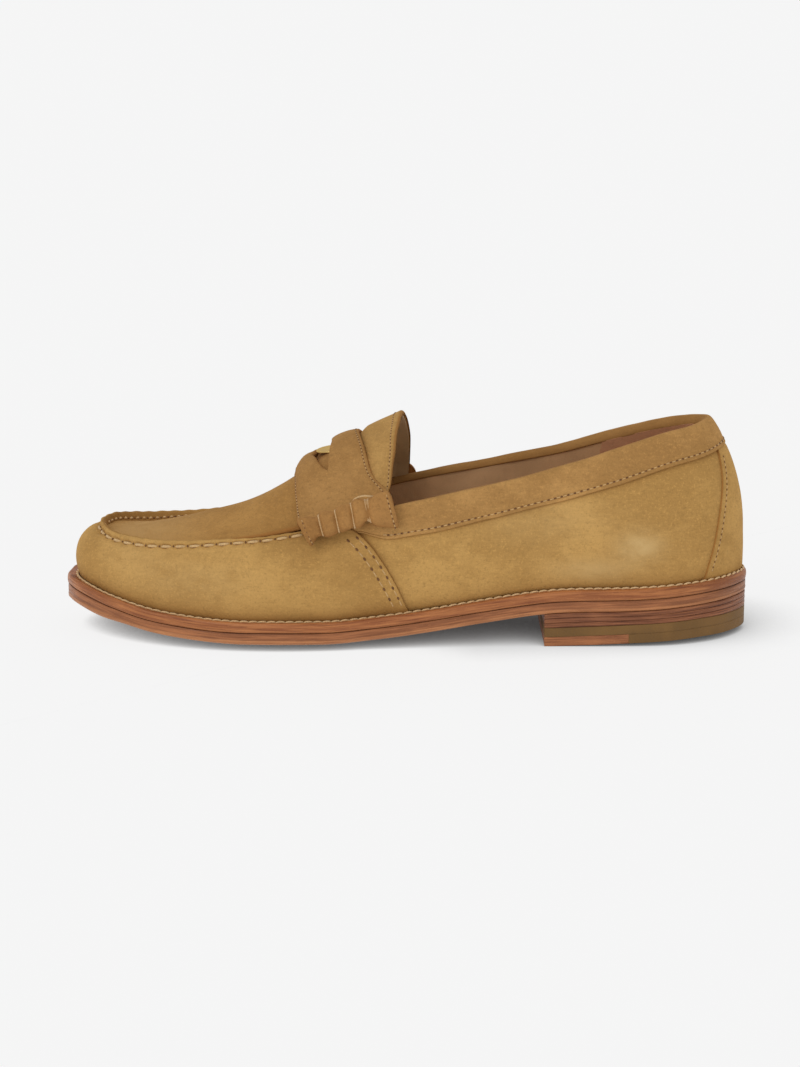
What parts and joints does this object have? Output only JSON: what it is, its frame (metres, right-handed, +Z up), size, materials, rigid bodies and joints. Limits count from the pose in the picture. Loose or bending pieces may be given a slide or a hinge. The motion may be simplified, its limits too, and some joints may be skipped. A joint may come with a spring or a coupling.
{
  "type": "penny loafer",
  "caption": "Left slip-on shoe with a raised apron seam, slotted saddle strap holding a coin, welted sole and stacked heel.",
  "frame": {"origin": "on the ground under the middle of the shoe's bounding box", "axes": "+Z up, +X from toe to heel, +Y to the shoe's inner side"},
  "size_m": [0.3, 0.1038, 0.0966],
  "materials": {
    "suede": "matt sand-coloured suede with a short nap",
    "collar_suede": "matt sand-coloured suede, rubbed darker",
    "lining_leather": "smooth tan lining leather",
    "grip_leather": "reddish tan reversed leather",
    "welt_leather": "orange-tan waxed leather edge",
    "sole_leather": "dark brown waxed leather edge",
    "heel_leather": "reddish brown stacked leather",
    "olive_rubber": "matt olive-brown rubber",
    "cork": "ground cork filler",
    "fibre_board": "fibre board",
    "foam": "soft foam pad",
    "steel": "plain steel",
    "coin_brass": "bright gold-coloured brass, plain faces"
  },
  "bodies": {
    "shoe": {"outsole": "sole_leather", "welt": "welt_leather", "cork_filler": "cork", "shank": "steel", "insole": "fibre_board", "heel_pad": "foam", "sock_liner": "lining_leather", "heel_lift_1": "heel_leather", "heel_lift_2": "heel_leather", "heel_lift_3": "heel_leather", "heel_rubber_lift": "olive_rubber", "top_piece_leather": "heel_leather", "top_piece_rubber": "olive_rubber", "vamp": "suede", "apron": "suede", "quarter_outer": "suede", "quarter_inner": "suede", "quarter_lining_outer": "lining_leather", "quarter_lining_inner": "lining_leather", "vamp_lining": "lining_leather", "heel_grip": "grip_leather", "heel_counter": "fibre_board", "toe_puff": "fibre_board", "backstay": "suede", "collar_band": "collar_suede", "saddle_strap": "suede", "beef_roll_outer": "suede", "beef_roll_inner": "suede", "heel_nail_1": "steel", "heel_nail_2": "steel", "heel_nail_3": "steel", "heel_nail_4": "steel", "heel_nail_5": "steel"},
    "coin": {"coin": "coin_brass"},
    "tongue": {"tongue": "suede", "tongue_lining": "lining_leather"}
  },
  "joints": [
    {"name": "coin_slide", "type": "slide", "parent": "shoe", "child": "coin", "axis": [-0.9903, 0, -0.1392], "range_m": [0, 0.0165]},
    {"name": "tongue_flex", "type": "hinge", "parent": "shoe", "child": "tongue", "pos_m": [-0.0197, 0, 0.0878], "axis": [0, -1, 0], "range_deg": [-3, 14], "stiffness_Nm_per_rad": 0.3}
  ]
}
